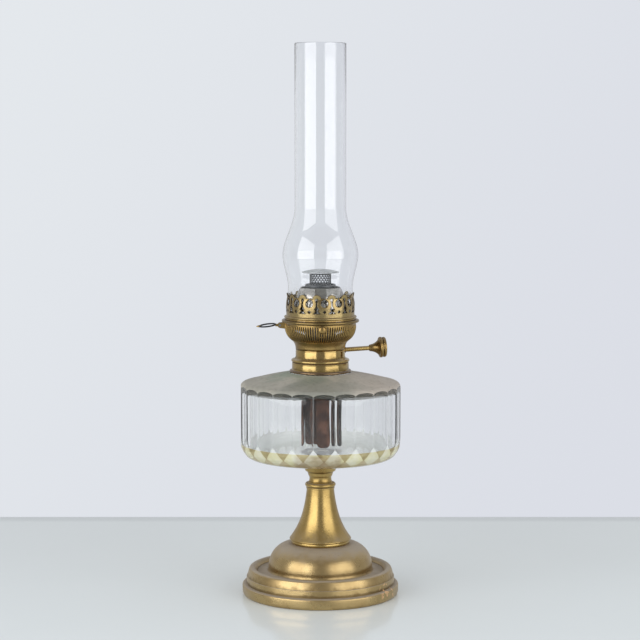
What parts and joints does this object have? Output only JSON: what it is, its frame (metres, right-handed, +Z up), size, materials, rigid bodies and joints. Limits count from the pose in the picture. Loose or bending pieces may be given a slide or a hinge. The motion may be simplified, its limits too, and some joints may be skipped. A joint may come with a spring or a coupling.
{
  "type": "kerosene table lamp",
  "caption": "Table lamp that burns kerosene: stepped brass foot and bell stem, panelled clear glass font, wick burner with pronged gallery, finger lever, winder knob and tall glass chimney.",
  "frame": {"origin": "centre of the foot, on the surface that the lamp stands on", "axes": "+Z up along the lamp's axis, -Y towards the front, +X towards the winder knob"},
  "size_m": [0.1324, 0.1324, 0.4551],
  "materials": {
    "satin_brass": "satin, dulled on upward faces",
    "polished_brass": "polished",
    "aged_brass": "aged, brownish",
    "iron": "rough cast",
    "steel": "dull tinned",
    "sooty_steel": "dark, heat stained",
    "font_glass": "clear pressed glass",
    "chimney_glass": "clear blown glass",
    "wick": "woven cotton tape, soaked",
    "cement": "plaster",
    "gasket": "flat leather washer"
  },
  "bodies": {
    "stand": {"base_foot": "satin_brass", "base_weight": "iron", "tie_rod": "steel", "tie_washer": "steel", "tie_nut": "steel", "stem_column": "satin_brass", "stem_bead": "satin_brass", "font_cup": "satin_brass", "cup_cement": "cement", "font_glass": "font_glass", "collar_cement": "cement", "font_collar": "polished_brass"},
    "gasket": {"burner_gasket": "gasket"},
    "burner": {"burner_drum": "polished_brass", "burner_basket": "aged_brass", "guide_studs": "aged_brass", "wick_tube": "sooty_steel", "air_tube": "steel", "air_bridge": "aged_brass", "shaft_bush": "aged_brass", "lever_bracket": "aged_brass", "lever_pin": "steel"},
    "winder": {"winder_shaft": "satin_brass", "winder_pinion": "aged_brass", "winder_knob": "aged_brass"},
    "wick": {"wick": "wick", "wick_carrier": "aged_brass", "wick_rack": "aged_brass"},
    "gallery": {"gallery_plate": "aged_brass", "gallery_crown": "aged_brass", "deflector_cone": "steel"},
    "spreader": {"spreader_thimble": "steel", "spreader_disc": "steel"},
    "lever": {"lift_lever": "aged_brass", "lever_loop": "sooty_steel"},
    "chimney": {"chimney": "chimney_glass"}
  },
  "joints": [
    {"name": "burner_rise", "type": "slide", "parent": "stand", "child": "gasket", "axis": [0, 0, 1], "range_m": [0, 0.0076]},
    {"name": "burner_turn", "type": "hinge", "parent": "gasket", "child": "burner", "pos_m": [0, 0, 0.1943], "axis": [0, 0, 1], "range_deg": [0, 1080]},
    {"name": "knob_turn", "type": "hinge", "parent": "burner", "child": "winder", "pos_m": [0, 0, 0.2027], "axis": [0.9864, 0.1562, 0.0506], "range_deg": [-50, 114]},
    {"name": "wick_slide", "type": "slide", "parent": "burner", "child": "wick", "axis": [0, 0, 1], "range_m": [-0.004, 0.009]},
    {"name": "lever_press", "type": "hinge", "parent": "burner", "child": "lever", "pos_m": [-0.0334, 0, 0.2245], "axis": [0, -1, 0], "range_deg": [0, 30]},
    {"name": "gallery_lift", "type": "slide", "parent": "burner", "child": "gallery", "axis": [0, 0, 1], "range_m": [0, 0.004]},
    {"name": "spreader_lift", "type": "slide", "parent": "burner", "child": "spreader", "axis": [0, 0, 1], "range_m": [0, 0.05]},
    {"name": "chimney_lift", "type": "slide", "parent": "gallery", "child": "chimney", "axis": [0, 0, 1], "range_m": [0, 0.06]}
  ],
  "couplings": [
    {"joint": "burner_rise", "follows": "burner_turn", "m_per_rad": 0.00039789},
    {"joint": "wick_slide", "follows": "knob_turn", "m_per_rad": 0.0045},
    {"joint": "lever_press", "follows": "gallery_lift", "rad_per_m": 129.87}
  ]
}
